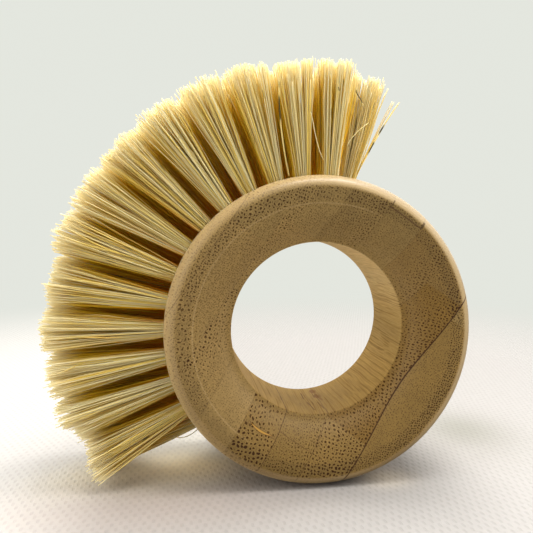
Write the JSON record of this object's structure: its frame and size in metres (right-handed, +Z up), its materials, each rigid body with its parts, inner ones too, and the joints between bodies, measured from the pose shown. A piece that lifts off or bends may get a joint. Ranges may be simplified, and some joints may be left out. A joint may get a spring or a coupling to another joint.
{
  "type": "dish brush",
  "caption": "Ring-handled dish brush: a turned ring of glued bamboo strips with a fan of plant-fibre bristle tufts around part of its rim.",
  "frame": {"origin": "centre of the finger hole: on its axis, half way between the ring's two faces", "axes": "+Y along the finger hole's axis, away from the front face, which looks to -Y; +Z up; the bristle fan points up and to -X; the brush stands on its rim at Z = -0.035"},
  "size_m": [0.0964, 0.0324, 0.0964],
  "materials": {
    "bamboo": "satin",
    "bristle": "matte",
    "staple": "satin"
  },
  "bodies": {
    "root": {"bamboo_ply_1": "bamboo", "bamboo_ply_2": "bamboo", "bamboo_ply_3": "bamboo", "bamboo_ply_4": "bamboo", "bamboo_ply_5": "bamboo", "bamboo_ply_6": "bamboo", "bamboo_ply_7": "bamboo", "bamboo_ply_8": "bamboo", "bamboo_ply_9": "bamboo", "tuft_front_01": "bristle", "tuft_front_02": "bristle", "tuft_front_03": "bristle", "tuft_front_04": "bristle", "tuft_front_05": "bristle", "tuft_front_06": "bristle", "tuft_front_07": "bristle", "tuft_front_08": "bristle", "tuft_front_09": "bristle", "tuft_front_10": "bristle", "tuft_front_11": "bristle", "tuft_front_12": "bristle", "tuft_front_13": "bristle", "tuft_middle_01": "bristle", "tuft_middle_02": "bristle", "tuft_middle_03": "bristle", "tuft_middle_04": "bristle", "tuft_middle_05": "bristle", "tuft_middle_06": "bristle", "tuft_middle_07": "bristle", "tuft_middle_08": "bristle", "tuft_middle_09": "bristle", "tuft_middle_10": "bristle", "tuft_middle_11": "bristle", "tuft_middle_12": "bristle", "tuft_middle_13": "bristle", "tuft_middle_14": "bristle", "tuft_back_01": "bristle", "tuft_back_02": "bristle", "tuft_back_03": "bristle", "tuft_back_04": "bristle", "tuft_back_05": "bristle", "tuft_back_06": "bristle", "tuft_back_07": "bristle", "tuft_back_08": "bristle", "tuft_back_09": "bristle", "tuft_back_10": "bristle", "tuft_back_11": "bristle", "tuft_back_12": "bristle", "tuft_back_13": "bristle", "staples_front": "staple", "staples_middle": "staple", "staples_back": "staple"}
  },
  "joints": []
}
